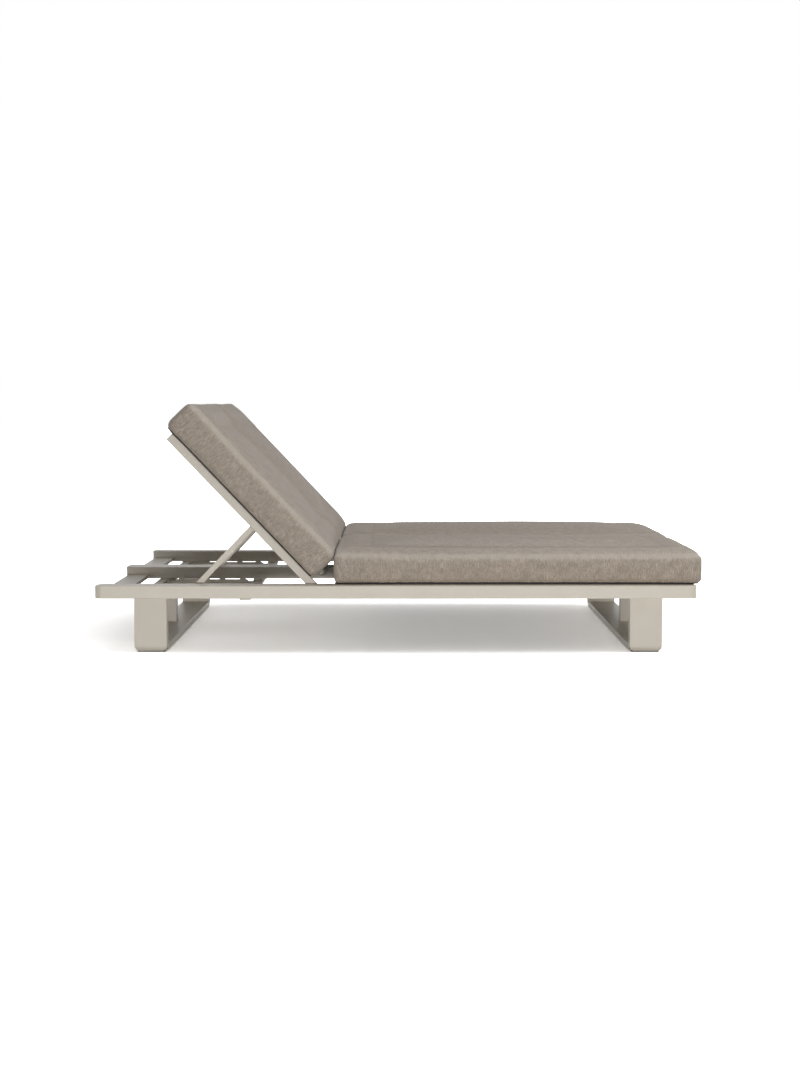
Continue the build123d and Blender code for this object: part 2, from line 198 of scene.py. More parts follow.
soft_box("front_soft_box", (-0.3, -6.2, 0.14), (0.0, -0.7, 0.3), (5.5, 0.24), 0.55)
soft_box("top_soft_box", (2.3, -0.8, 3.2), (0.0, 0.0, 0.3), (3.6, 2.6), 0.62)
soft_box("rear_soft_box", (-0.6, 6.2, 0.5), (0.0, 0.7, 0.4), (5.5, 0.9), 0.14)

# %% [markdown]
# The floor is plain paper that runs out of sight. To the camera its colour is brighter than
# white, so that only the real shadow under the lounger stays grey, and far from the lounger, where
# the soft boxes don't reach, a glow takes over. Light on its way to the lounger sees neither.

# %% Floor
floor_mesh = bpy.data.meshes.new("studio_floor")
reach = 60.0
corners = [(-reach, -reach, 0.0), (reach, -reach, 0.0), (reach, reach, 0.0), (-reach, reach, 0.0)]
floor_mesh.from_pydata(corners, [], [(0, 1, 2, 3)])
floor = bpy.data.objects.new("studio_floor", floor_mesh)
scene.collection.objects.link(floor)

paper = bpy.data.materials.new("white_studio_paper")
paper.use_nodes = True
tree = paper.node_tree
tree.nodes.clear()
spot = add_node(tree, "ShaderNodeTexCoord").outputs["Object"]
from_middle = add_node(tree, "ShaderNodeVectorMath", {0: spot}, operation="LENGTH").outputs["Value"]
far_out = {"Value": from_middle, "From Min": 0.85, "From Max": 1.75, "To Min": 0.22, "To Max": 1.0}
glow_share = add_node(tree, "ShaderNodeMapRange", far_out, interpolation_type="SMOOTHSTEP")
seen = seen_white(tree, 0.0, 1.0)
glow_strength = maths(tree, "MULTIPLY", glow_share.outputs["Result"], seen)
glow = add_node(tree, "ShaderNodeEmission", {"Color": white, "Strength": glow_strength})
matt = add_node(tree, "ShaderNodeBsdfDiffuse", {"Color": seen_white(tree, 0.55, 2.6)})
both = add_node(tree, "ShaderNodeAddShader", {0: matt.outputs[0], 1: glow.outputs[0]})
add_node(tree, "ShaderNodeOutputMaterial", {"Surface": both.outputs[0]})
floor_mesh.materials.append(paper)
print("floor ready")

# %% [markdown]
# The whole frame is aluminium under a baked powder coat in a warm taupe. Powder melts and flows
# in the oven, which leaves a satin skin with a very fine orange peel, so the highlight is soft
# and slightly broken. The grain is about 0.8 mm on the real tube. It is drawn at 1.6 mm, so that
# it shows at all, and a wide, weak cloudiness keeps long rails from looking like flat paint.

# %% Powder coat
powder_coat, tree, shader = new_material("powder_coat_taupe_satin")
place = add_node(tree, "ShaderNodeTexCoord").outputs["Object"]
peel = noise_cells(tree, place, 0.0016, 2.0)
cloud = noise_cells(tree, place, 0.11, 3.0)
tone = mapped(tree, cloud, (0.3, 0.7), (0.0, 1.0))
coat = {
    "Base Color": blended(tree, tone, "C3BBAD", "C8C0B3"),
    "Roughness": mapped(tree, peel, (0.3, 0.7), (0.4, 0.5)),
    "Normal": relief(tree, peel, 0.35, 0.00012),
}
fill(tree, shader, coat)

# %% [markdown]
# The glides are moulded polyethylene, dark and matt, with the fine spark-eroded texture of their
# mould, and the end plugs are the same plastic in the frame's colour. The pivot bolts, nuts and
# spacers are zinc-plated steel, whose passivated skin is cloudy. The rivets wear the frame's coat.

# %% Moulded plastic and zinc-plated steel
dark_plastic, tree, shader = new_material("polyethylene_dark_moulded")
place = add_node(tree, "ShaderNodeTexCoord").outputs["Object"]
grain = noise_cells(tree, place, 0.0012, 3.0)
scuff = noise_cells(tree, place, 0.014, 4.0)
moulded = {
    "Base Color": blended(tree, scuff, "3A3733", "4C4843"),
    "Normal": relief(tree, grain, 0.4, 0.0002),
    "Roughness": 0.62,
}
fill(tree, shader, moulded)

zinc_steel, tree, shader = new_material("steel_zinc_plated")
place = add_node(tree, "ShaderNodeTexCoord").outputs["Object"]
bloom = noise_cells(tree, place, 0.004, 4.0)
plated = {
    "Base Color": blended(tree, bloom, "75726B", "94908A"),
    "Roughness": mapped(tree, bloom, (0.0, 1.0), (0.38, 0.6)),
    "Metallic": 1.0,
}
fill(tree, shader, plated)

taupe_plastic, tree, shader = new_material("polyethylene_taupe_moulded")
place = add_node(tree, "ShaderNodeTexCoord").outputs["Object"]
grain = noise_cells(tree, place, 0.0012, 3.0)
moulded = {
    "Base Color": blended(tree, grain, "B5AC9F", "BDB5A8"),
    "Normal": relief(tree, grain, 0.4, 0.0002),
    "Roughness": 0.6,
}
fill(tree, shader, moulded)

finish_of = {"powder_coat": powder_coat, "dark_plastic": dark_plastic, "zinc_steel": zinc_steel}
for name, slot in slot_of.items():
    if slot in finish_of:
        for material_slot in nodes[name].material_slots:
            finish = finish_of[slot]
            if "plugs" in name:
                finish = taupe_plastic
            if "rivets" in name:
                finish = powder_coat
            material_slot.material = finish
print("finishes on", sum(slot in finish_of for slot in slot_of.values()), "frame nodes")

# %% [markdown]
# The cushions wear a heathered outdoor weave. Its yarns run across the bed and down the side
# panels, and here and there a yarn is thick or pale, which draws short thin streaks. They show most
# on the border, and the panels look calmer. The pattern follows the cloth by attributes that each
# cushion carries: where a point lies on the unbent cushion, whether it is on the border, on an end,
# where the cloth is cut the other way, and two that carry painted light: a painted highlight, a
# pale band on the edge of the top and a pale line by the inner seam, and painted shade on the base,
# which is coloured near black and draws a thin dark line on the bars.

# %% Heathered outdoor weave
cushion_weave, tree, shader = new_material("heathered_outdoor_weave")
cloth_place = add_node(tree, "ShaderNodeAttribute", attribute_name="cloth_place").outputs["Vector"]
end_share = add_node(tree, "ShaderNodeAttribute", attribute_name="end_share").outputs["Fac"]
side_share = add_node(tree, "ShaderNodeAttribute", attribute_name="side_share").outputs["Fac"]
# Painted highlight: where the cloth is coloured paler to stand in for light catching the top edge
# and the inner seam.
painted_highlight_share = add_node(tree, "ShaderNodeAttribute", attribute_name="painted_highlight_share").outputs["Fac"]
# Painted shade: this share colours the lowest millimetres of the cover near black.
painted_base_shade = add_node(tree, "ShaderNodeAttribute", attribute_name="painted_base_shade").outputs["Fac"]


def stretched_noise(cell, detail, rough):
    """Noise in cells of these three sizes in metres, turned by a quarter turn on the end panels."""
    values = []
    for sizes in (cell, (cell[1], cell[0], cell[2])):
        scale = tuple(1 / size for size in sizes)
        spread = add_node(tree, "ShaderNodeMapping", {"Vector": cloth_place, "Scale": scale})
        settings = {"Vector": spread.outputs["Vector"], "Scale": 1.0, "Detail": detail}
        noise = add_node(tree, "ShaderNodeTexNoise", settings)
        noise.inputs["Roughness"].default_value = rough
        values.append(noise.outputs["Fac"])
    turned = {0: end_share, 2: values[0], 3: values[1]}
    return add_node(tree, "ShaderNodeMix", turned, data_type="FLOAT").outputs[0]


slubs = stretched_noise((0.0021, 0.019, 0.019), 1.0, 0.6)
threads = stretched_noise((0.0026, 0.0050, 0.0050), 1.0, 0.5)
patches = noise_cells(tree, cloth_place, 0.024, 3.0)
contrast = mapped(tree, side_share, (0.0, 1.0), (0.55, 1.0))
yarns = add_node(
    tree, "ShaderNodeMix", {0: 0.45, 2: slubs, 3: threads}, data_type="FLOAT"
).outputs[0]
centred = maths(tree, "SUBTRACT", yarns, 0.5)
eased = maths(tree, "MULTIPLY_ADD", centred, contrast, 0.5)
streaks = mapped(tree, eased, (0.31, 0.69), (0.0, 1.0))
yarn = add_node(tree, "ShaderNodeValToRGB", {"Fac": streaks})
ramp = yarn.color_ramp
ramp.elements[0].color = hex_colour("8A7D70")
ramp.elements[1].color = hex_colour("C1B6A8")
for position, code in ((0.32, "9A8E81"), (0.55, "A5998C"), (0.75, "AFA396")):
    ramp.elements.new(position).color = hex_colour(code)
cloudy = mapped(tree, patches, (0.3, 0.7), (0.9, 1.08))
mottled = add_node(
    tree,
    "ShaderNodeMix",
    {0: 1.0, 6: yarn.outputs["Color"], 7: cloudy},
    data_type="RGBA",
    blend_type="MULTIPLY",
).outputs[2]
# Painted highlight: the top edge and the line by the inner seam are coloured paler, up to near
# white, in place of the light that catches them.
painted_edge_highlight = maths(tree, "MULTIPLY", painted_highlight_share, 0.5)
paler = mapped(tree, painted_edge_highlight, (0.5, 1.0), (0.0, 1.0))
edged = blended(tree, painted_edge_highlight, mottled, blended(tree, paler, "C0B8AE", "F2ECE2"))
cloth = {
    # Painted shade: near black on the base, standing in for the shadow under the cushion's edge.
    "Base Color": blended(tree, painted_base_shade, edged, "2E2925"),
    "Normal": relief(tree, maths(tree, "ADD", slubs, threads), 0.7, 0.0012),
    "Roughness": 0.92,
    "Specular IOR Level": 0.25,
    "Sheen Weight": 0.26,
    "Sheen Roughness": 0.5,
    "Sheen Tint": hex_colour("E6EDF5"),
}
fill(tree, shader, cloth)
print("weave ready")

# %% [markdown]
# A box cushion is sewn from a top panel, a base panel and a border of side panels round a foam
# block. The fibre wrap round the foam swells the cover: the top crowns, the border rounds out,
# and the seams stay in as shallow valleys. Each cushion is first drawn as its cover would be,
# empty and slightly too small, in its own directions: along the bed, across it, and up.

# %% The cushions' sizes
slack = 0.006
swell = 0.016
corner_round = 0.028
seam_width = 0.012
# Each size also gives the painted highlight line by the inner seam: its inset from the seam and its
# strength.
sizes = {
    "seat": {
        "long": 1.237,
        "wide": 0.7085,
        "thick": 0.107,
        "crown": 0.032,
        "end_crowns": (0.022, 0.010),
        "painted_inner_highlight": (0.048, 0.9),
        "base_round": 0.020,
        "top_rounds": (0.018, 0.024),
    },
    "back": {
        "long": 0.716,
        "wide": 0.7085,
        "thick": 0.128,
        "crown": 0.015,
        "end_crowns": (0.002, 0.002),
        "painted_inner_highlight": (-0.002, 2.0),
        "base_round": 0.026,
        "top_rounds": (0.034, 0.026),
    },
}
bed_centre = 0.35575
seat_start = Vector((-0.2225, 0.0, 0.2303))
pivot = Vector((-0.2874, 0.0, 0.2135))
recline = math.radians(46.35)
up_the_back = Vector((-math.cos(recline), 0.0, math.sin(recline)))
off_the_back = Vector((math.sin(recline), 0.0, math.cos(recline)))
low_end_up, base_off = 0.0225, 0.0193
back_start = pivot + up_the_back * low_end_up + off_the_back * base_off
print("back cushion starts at", [round(v, 4) for v in back_start])

# %% [markdown]
# The empty cover starts as a finely cut cube. A sine packs its cuts towards the edges, every
# point is pulled onto a box with rounded edges, and the top is lifted into a low crown that
# starts at the seams.


# %% The empty cover
def rise(distance, run, steepness=2.6):
    """A climb from 0 at an edge to 1 at this run from it, steep at first, as stuffing swells."""
    return 1 - (1 - np.clip(distance / run, 0.0, 1.0)) ** steepness


def empty_cover(size):
    """The cover before it is filled: slack metres small all round, its crown lower by the swell."""
    cuts, end_run, side_run, draw_in = 47, 0.13, 0.20, 0.004
    shape = bmesh.new()
    bmesh.ops.create_cube(shape, size=2.0)
    bmesh.ops.subdivide_edges(shape, edges=shape.edges[:], cuts=cuts, use_grid_fill=True)
    cube = np.array([v.co for v in shape.verts])
    faces = [[v.index for v in face.verts] for face in shape.faces]
    shape.free()
    half = np.array([size["long"], size["wide"], size["thick"]]) / 2
    half -= np.array([slack, slack, slack / 2])
    place = np.sin(np.clip(cube, -1.0, 1.0) * math.pi / 2) * half
    low_round, high_round = size["top_rounds"]
    along = (place[:, 0] / half[0] + 1) / 2
    top_round = low_round + (high_round - low_round) * along
    over = np.clip(place[:, 2] / half[2], -1.0, 1.0) / 2 + 0.5
    radius = (size["base_round"] + (top_round - size["base_round"]) * over)[:, None]
    core = np.clip(place, -(half - radius), half - radius)
    out = place - core
    length = np.linalg.norm(out, axis=1, keepdims=True)
    place = core + out / np.maximum(length, 1e-9) * np.minimum(length, radius)
    end_crown = np.where(place[:, 0] < 0, *size["end_crowns"])
    grown_in = rise(half[0] - np.abs(place[:, 0]), end_run)
    crown = end_crown + (size["crown"] - swell - end_crown) * grown_in
    lift = crown * rise(half[1] - np.abs(place[:, 1]), side_run)
    place[:, 2] += lift * np.clip(place[:, 2] / half[2], 0.0, 1.0)
    waist = 1 - draw_in / half[1] * (1 - (place[:, 0] / half[0]) ** 4)
    place[:, 1] *= waist
    place[:, 2] += half[2]
    mesh = bpy.data.meshes.new("empty_cover")
    mesh.from_pydata(place.tolist(), [], faces)
    return mesh


# %% [markdown]
# Filling it is a cloth simulation. The cover is remeshed into even small faces, as a fabric needs
# them, and blown up with a little pressure and no gravity for twenty frames. The seams and the
# base are held, so that the panels swell between them. The movement is then capped, softly, as
# foam would stop it, and evened out, because the wrap round the foam leaves no sharp creases.


# %% Helpers for meshes
def to_array(mesh):
    """A mesh's points as rows of x, y and z."""
    flat = np.empty(len(mesh.vertices) * 3)
    mesh.vertices.foreach_get("co", flat)
    return flat.reshape(-1, 3)


def point_normals(mesh):
    """The directions that a mesh's points face, as rows of x, y and z."""
    flat = np.empty(len(mesh.vertices) * 3)
    mesh.vertices.foreach_get("normal", flat)
    return flat.reshape(-1, 3)


def set_points(mesh, points):
    """Moves a mesh's points to these rows of x, y and z."""
    mesh.vertices.foreach_set("co", points.reshape(-1))
    mesh.update()


def with_modifiers(mesh, add):
    """A plain mesh with the modifiers applied that the function adds to an object of it."""
    helper = bpy.data.objects.new("helper", mesh)
    scene.collection.objects.link(helper)
    add(helper)
    seen = helper.evaluated_get(bpy.context.evaluated_depsgraph_get())
    made = bpy.data.meshes.new_from_object(seen)
    bpy.data.objects.remove(helper)
    return made


def even_faces(mesh, voxel):
    """The mesh rebuilt with faces of one size."""

    def add(helper):
        remesh = helper.modifiers.new("even", "REMESH")
        remesh.mode = "VOXEL"
        remesh.voxel_size = voxel

    return with_modifiers(mesh, add)


def smoothed(mesh, levels):
    """The mesh with every face cut in four, and its shape and attributes smoothed."""

    def add(helper):
        finer = helper.modifiers.new("finer", "SUBSURF")
        finer.levels = finer.render_levels = levels

    return with_modifiers(mesh, add)


# %% [markdown]
# Where a point lies on the cover is worked out once, before the filling, and kept as attributes:
# its place, how far it is from the top and base seams, and whether it is on a side or end panel.


# %% Where the seams lie
def seam_facts(place, size):
    """Distances to the top and base seams, and shares on a side panel and on an end panel.

    A distance is positive on the panel and negative on the border.
    """
    half = np.array([size["long"] / 2 - slack, size["wide"] / 2 - slack])
    thick = size["thick"] - slack
    beyond = np.abs(place[:, :2]) - (half - corner_round)
    outside = np.linalg.norm(np.maximum(beyond, 0.0), axis=1)
    inward = corner_round - outside - np.minimum(beyond.max(axis=1), 0.0)
    down = thick - np.minimum(place[:, 2], thick)
    up = place[:, 2]
    top_seam = np.maximum(inward, 0.0) - np.maximum(down, 0.0)
    base_seam = np.maximum(inward, 0.0) - np.maximum(up, 0.0)
    side = np.clip(0.5 - np.maximum(top_seam, base_seam) / seam_width, 0.0, 1.0)
    end = np.clip(0.5 + (beyond[:, 0] - beyond[:, 1]) / seam_width, 0.0, 1.0) * side
    return top_seam, base_seam, side, end


def add_attribute(mesh, name, values):
    """Keeps a value or vector for every point on the mesh."""
    kind = "FLOAT_VECTOR" if values.ndim == 2 else "FLOAT"
    layer = mesh.attributes.new(name, kind, "POINT")
    layer.data.foreach_set("vector" if values.ndim == 2 else "value", values.reshape(-1))


def attribute_values(mesh, name):
    """The value that a mesh keeps for every point under this name."""
    values = np.empty(len(mesh.vertices))
    mesh.attributes[name].data.foreach_get("value", values)
    return values


# %% Filling a cushion
def filled(size):
    """An empty cover, its points, how far the filling moves each, and its seam facts."""
    voxel, cap, rounds = 0.008, 0.024, 30
    seam_hold, base_hold, base_height = 0.35, 0.6, 0.003
    cover = even_faces(empty_cover(size), voxel)
    start = to_array(cover)
    facts = seam_facts(start, size)
    top_seam, base_seam = facts[:2]
    held = np.clip(1 - np.abs(top_seam) / seam_width, 0.0, 1.0) * seam_hold
    held = np.maximum(held, np.clip(1 - np.abs(base_seam) / seam_width, 0.0, 1.0) * base_hold)
    held = np.where(start[:, 2] < base_height, 1.0, held)
    moved = blown_up(cover, held)
    shift = moved - start
    far = np.linalg.norm(shift, axis=1, keepdims=True)
    print("pressure moved points up to", round(float(far.max()) * 1000, 1), "mm")
    shift *= cap * np.tanh(far / cap) / np.maximum(far, 1e-9)
    return cover, start, evened(cover, shift, rounds), facts


def evened(mesh, values, rounds):
    """Vectors on a mesh's points, each moved halfway to its neighbours' mean, this many times."""
    ends = np.empty(len(mesh.edges) * 2, int)
    mesh.edges.foreach_get("vertices", ends)
    first, second = ends.reshape(-1, 2).T
    here, there = np.concatenate([first, second]), np.concatenate([second, first])
    count = np.bincount(here, minlength=len(values))[:, None]
    for _ in range(rounds):
        around = [np.bincount(here, values[there, axis], len(values)) for axis in range(3)]
        values = (values + np.column_stack(around) / count) / 2
    return values


def blown_up(mesh, held):
    """Where the mesh's points lie after some frames of pressure, with some of them held."""
    frames, hold_steps = 20, 20
    helper = bpy.data.objects.new("pressure_helper", mesh.copy())
    scene.collection.objects.link(helper)
    group = helper.vertex_groups.new(name="held")
    for step in range(1, hold_steps + 1):
        low, high = (step - 1) / hold_steps, step / hold_steps
        chosen = np.nonzero((held > low) & (held <= high))[0]
        if len(chosen):
            group.add(chosen.tolist(), high, "REPLACE")
    cloth = helper.modifiers.new("cloth", "CLOTH")
    settings = cloth.settings
    settings.quality = 4
    settings.mass = 0.3
    settings.tension_stiffness = 15.0
    settings.compression_stiffness = 15.0
    settings.shear_stiffness = 5.0
    settings.bending_stiffness = 0.5
    settings.use_pressure = True
    settings.uniform_pressure_force = 4.0
    settings.vertex_group_mass = "held"
    settings.effector_weights.gravity = 0.0
    cloth.point_cache.frame_start = 1
    cloth.point_cache.frame_end = frames
    for number in range(1, frames + 1):
        scene.frame_set(number)
    seen = helper.evaluated_get(bpy.context.evaluated_depsgraph_get())
    made = bpy.data.meshes.new_from_object(seen)
    points = to_array(made)
    bpy.data.objects.remove(helper)
    scene.frame_set(1)
    return points


# %% [markdown]
# After the filling, each cushion is fitted to its place: its length, width and crown are brought
# to size, the base is pressed flat on the slats, and the side next to the other bed stays clear of
# it. Small puckers run along the seams, where a sewing machine feeds one panel slightly faster
# than the other.


# %% Fitting a cushion
def smooth_waves(points, seed, length, count=7):
    """A smooth seeded field between about -1 and 1 that changes over this length."""
    maker = np.random.default_rng(seed)
    total = np.zeros(len(points))
    for _ in range(count):
        way = maker.normal(size=points.shape[1])
        way *= maker.uniform(0.7, 1.4) / np.linalg.norm(way)
        total += np.sin(points @ way * 2 * math.pi / length + maker.uniform(0, 2 * math.pi))
    return total / math.sqrt(count)


def bell(distance, width):
    """A smooth hump over a line: 1 on it, and nearly nothing two widths away."""
    return np.exp(-((distance / width) ** 2))


shift_shares = np.array([0.45, 0.6, 1.0])
head_gap, length_loss, side_gain, crown_loss = 0.002, 0.003, 0.002, 0.001
wave_length, wave_height, wave_run = 0.42, 0.0008, 0.1
pucker_length, pucker_height, seam_depth = 0.03, 0.0009, 0.0018
inner_limit, outer_limit = -0.0006, 0.006
band_at, band_width, line_width, inner_reach = 0.004, 0.016, 0.012, 0.06
seam_reach, top_pucker_reach, base_pucker_reach, base_pucker_share = 0.009, 0.03, 0.02, 0.6
base_depth = 0.004


def fitted(kind, seed, mirror):
    """One finished cushion as a mesh in its own directions, mirrored for the far bed."""
    size = sizes[kind]
    cover, start, shift, (top_seam, base_seam, side, end) = fillings[kind]
    wave = smooth_waves(start[:, :2], seed, wave_length)
    shift = shift * shift_shares
    points = start + shift
    low, high = points.min(axis=0), points.max(axis=0)
    along = (points[:, 0] - low[0]) / (high[0] - low[0])
    points[:, 0] = along * (size["long"] - length_loss) + head_gap
    points[:, 1] *= (size["wide"] / 2 + side_gain) / high[1]
    full = size["thick"] + size["crown"]
    rest = start[:, 2].max()
    gain = (full - crown_loss - rest) / (high[2] - rest)
    taken_up = slack * np.clip(start[:, 2] / size["thick"], 0.0, 1.0) * 0.5
    points[:, 2] += shift[:, 2] * (gain - 1) + taken_up
    points[:, 2] += wave_height * wave * np.clip(top_seam / wave_run, 0.0, 1.0)
    excess = points[:, 2].max() - full
    free = 0.7 * size["thick"]
    points[:, 2] -= excess * np.clip((points[:, 2] - free) / (full - free), 0.0, 1.0)
    fitted_points[kind] = points.copy()
    mesh = cover.copy()
    # Painted highlight: a pale band along the outer top edge and a pale line by the inner seam,
    # standing in for light on the cloth.
    line_at, line_share = size["painted_inner_highlight"]
    painted_outer_highlight = bell(top_seam - band_at, band_width)
    painted_inner_highlight = line_share * bell(top_seam - line_at, line_width)
    inner_side = start[:, 1] > size["wide"] / 2 - inner_reach
    add_attribute(mesh, "cloth_place", start + np.array([seed * 1.7, 0.0, seed * 0.9]))
    add_attribute(mesh, "end_share", end)
    add_attribute(mesh, "side_share", side)
    add_attribute(mesh, "painted_highlight_share", np.where(inner_side, painted_inner_highlight, painted_outer_highlight))
    # Painted shade: the share of near-black colour on the lowest few millimetres of the cover.
    add_attribute(mesh, "painted_base_shade", np.clip(1.2 - start[:, 2] / base_depth, 0.0, 1.0))
    add_attribute(mesh, "top_seam", top_seam)
    add_attribute(mesh, "base_seam", base_seam)
    set_points(mesh, points)
    mesh = smoothed(mesh, 1)
    points = to_array(mesh)
    seam, lower_seam = (attribute_values(mesh, name) for name in ("top_seam", "base_seam"))
    near_seam = bell(seam, seam_reach) + bell(lower_seam, seam_reach)
    pucker_zone = bell(seam, top_pucker_reach)
    pucker_zone += base_pucker_share * bell(lower_seam, base_pucker_reach)
    pucker = smooth_waves(points[:, :2], seed + 50, pucker_length) * pucker_height * pucker_zone
    points += point_normals(mesh) * (pucker - seam_depth * near_seam)[:, None]
    half_wide = size["wide"] / 2
    points[:, 1] = np.clip(points[:, 1], -(half_wide + outer_limit), half_wide + inner_limit)
    points[:, 2] = np.maximum(points[:, 2], 0.0)
    if mirror:
        points[:, 1] *= -1
    set_points(mesh, points)
    if mirror:
        mesh.flip_normals()
    return mesh


fillings = {kind: filled(size) for kind, size in sizes.items()}
fitted_points = {}

# %% [markdown]
# Each cushion is then carried to its place on the frame. The far bed's cushions are the same
# fillings mirrored, with their own gentle unevenness and their own stretch of cloth, as two
# cushions from one factory would differ.


# %% Placing the cushions
ways = {
    "seat": (seat_start, Vector((1, 0, 0)), Vector((0, 0, 1))),
    "back": (back_start, up_the_back, off_the_back),
}


def carry(points, kind, centre):
    """Points from a cushion's own directions to its place on the bed."""
    origin, along, above = (np.array(v) for v in ways[kind])
    moved = points[:, :1] * along + points[:, 2:] * above + origin
    moved[:, 1] += points[:, 1] + centre
    return moved


def placed(mesh, kind, centre):
    """Moves a cushion's mesh to its place, with its faces still pointing outwards."""
    set_points(mesh, carry(to_array(mesh), kind, centre))
    if kind == "back":
        mesh.flip_normals()
    return mesh


cushions = {}
for kind in ("seat", "back"):
    for bed, centre, seed in (("near", -bed_centre, 3), ("far", bed_centre, 8)):
        shape = fitted(kind, seed + (kind == "back") * 20, bed == "far")
        shape = placed(shape, kind, centre)
        shape.polygons.foreach_set("use_smooth", np.ones(len(shape.polygons), bool))
        shape.materials.clear()
        shape.materials.append(cushion_weave)
        piece = bpy.data.objects.new(f"{kind}_pad_{bed}", shape)
        scene.collection.objects.link(piece)
        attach(piece, "frame" if kind == "seat" else f"back_cushion_{bed}")
        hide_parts(f"{kind}_cushion_{bed}")
        cushions[kind, bed] = piece
        points = to_array(shape)
        low, high = points.min(axis=0).round(4), points.max(axis=0).round(4)
        print(piece.name, len(shape.polygons), "faces", low, high)

# %% [markdown]
# The stitches and the binding come after the filling, because the remesh would have erased them.
# A row of short stitches runs beside the top seam of each cushion and holds the seam allowance
# down, and the binding runs round its base. Both follow a path on the finished cloth: a line on
# the empty cover is carried along by the nearest cloth and dropped onto it.


# %% Seam paths
def seam_line(size, top, inset, step=0.006):
    """Points along a seam of the empty cover, in its own directions, inset onto the panel."""
    tightest = 0.006
    radius = sum(size["top_rounds"]) / 2 if top else size["base_round"]
    edge = radius * (1 - math.cos(math.pi / 4))
    half = np.array([size["long"] / 2 - slack, size["wide"] / 2 - slack]) - edge - inset
    corner = max(corner_round - edge - inset, tightest)
    places = []
    for quarter in range(4):
        across = np.array([1 if quarter in (0, 3) else -1, 1 if quarter in (0, 1) else -1])
        middle = across * (half - corner)
        start = quarter * math.pi / 2
        for angle in np.linspace(start, start + math.pi / 2, 8):
            places.append(middle + corner * np.array([math.cos(angle), math.sin(angle)]))
    places.append(places[0])
    line = []
    for a, b in zip(places, places[1:]):
        count = max(int(np.linalg.norm(b - a) / step), 1)
        line += [a + (b - a) * k / count for k in range(count)]
    line = np.array(line)
    height = size["thick"] - slack - edge if top else edge
    return np.column_stack([line, np.full(len(line), height)])


def on_the_cloth(line, kind, mesh, mirror, centre, proud):
    """The line carried to a placed cushion and laid on its cloth, standing proud by this much."""
    start = fillings[kind][1]
    tree = KDTree(len(start))
    for index, point in enumerate(start):
        tree.insert(point, index)
    tree.balance()
    carried = []
    for point in line:
        index = tree.find(point)[1]
        carried.append(point + fitted_points[kind][index] - start[index])
    carried = np.array(carried)
    if mirror:
        carried[:, 1] *= -1
    carried = carry(carried, kind, centre)
    cloth = BVHTree.FromPolygons(
        [v.co for v in mesh.vertices], [tuple(face.vertices) for face in mesh.polygons]
    )
    laid = []
    for point in carried:
        spot, normal, _, _ = cloth.find_nearest(Vector(point))
        laid.append(spot + normal * proud)
    return laid


# %% [markdown]
# Bindings, stitches and weld beads all follow lines, so Geometry Nodes make them. A line goes in
# as plain edges, becomes a curve, and is swept into a cord or carries small copies of one stitch.


# %% Geometry Nodes helpers
def new_tree(name, sizes_in):
    """A node tree that takes a mesh and these named sizes, and gives a mesh."""
    tree = bpy.data.node_groups.new(name, "GeometryNodeTree")
    tree.interface.new_socket("Geometry", in_out="INPUT", socket_type="NodeSocketGeometry")
    for label in sizes_in:
        tree.interface.new_socket(label, in_out="INPUT", socket_type="NodeSocketFloat")
    tree.interface.new_socket("Geometry", in_out="OUTPUT", socket_type="NodeSocketGeometry")
    given = add_node(tree, "NodeGroupInput")
    return tree, given


def close_tree(tree, geometry, material):
    """Ends a tree with real copies in this material."""
    real = add_node(tree, "GeometryNodeRealizeInstances", {"Geometry": geometry})
    links = {"Geometry": real.outputs["Geometry"], "Material": material}
    painted = add_node(tree, "GeometryNodeSetMaterial", links)
    add_node(tree, "NodeGroupOutput", {"Geometry": painted.outputs["Geometry"]})


def grown(name, lines, tree, values):
    """A plain mesh object that the tree grows along these lines."""
    points, edges = [], []
    for line, closed in lines:
        first = len(points)
        points += [tuple(point) for point in line]
        edges += [(first + k, first + k + 1) for k in range(len(line) - 1)]
        if closed:
            edges.append((first + len(line) - 1, first))
    base = bpy.data.meshes.new(name + "_lines")
    base.from_pydata(points, edges, [])

    def add(helper):
        modifier = helper.modifiers.new("grow", "NODES")
        modifier.node_group = tree
        for socket in tree.interface.items_tree:
            if socket.in_out == "INPUT" and socket.name in values:
                modifier[socket.identifier] = values[socket.name]

    mesh = with_modifiers(base, add)
    mesh.polygons.foreach_set("use_smooth", np.ones(len(mesh.polygons), bool))
    piece = bpy.data.objects.new(name, mesh)
    scene.collection.objects.link(piece)
    print(name, len(mesh.polygons), "faces")
    return piece


# %% A cord along a line
def cord_tree(name, material):
    """A tree that sweeps a slightly rippled cord of this material along its lines."""
    tree, given = new_tree(name, ["Radius", "Step", "Ripple", "Ripple Length"])
    curve = add_node(tree, "GeometryNodeMeshToCurve", {"Mesh": given.outputs["Geometry"]})
    spaced = add_node(
        tree,
        "GeometryNodeResampleCurve",
        {"Curve": curve.outputs["Curve"], "Length": given.outputs["Step"]},
        mode="LENGTH",
    )
    travelled = add_node(tree, "GeometryNodeSplineParameter").outputs["Length"]
    turns = maths(tree, "DIVIDE", travelled, given.outputs["Ripple Length"])
    wave = maths(tree, "SINE", maths(tree, "MULTIPLY", turns, 2 * math.pi))
    swing = maths(tree, "MULTIPLY_ADD", wave, given.outputs["Ripple"], 1.0)
    girth = maths(tree, "MULTIPLY", swing, given.outputs["Radius"])
    ring = add_node(tree, "GeometryNodeCurvePrimitiveCircle", {"Resolution": 8, "Radius": 1.0})
    swept = add_node(
        tree,
        "GeometryNodeCurveToMesh",
        {
            "Curve": spaced.outputs["Curve"],
            "Profile Curve": ring.outputs["Curve"],
            "Scale": girth,
            "Fill Caps": True,
        },
    )
    close_tree(tree, swept.outputs["Mesh"], material)
    print(name, "has", len(tree.nodes), "nodes")
    return tree


# %% [markdown]
# A stitch is a short, round piece of thread that dips into the cloth at both ends.
# One low sphere, drawn out along the line, is enough for something repeated a thousand times.

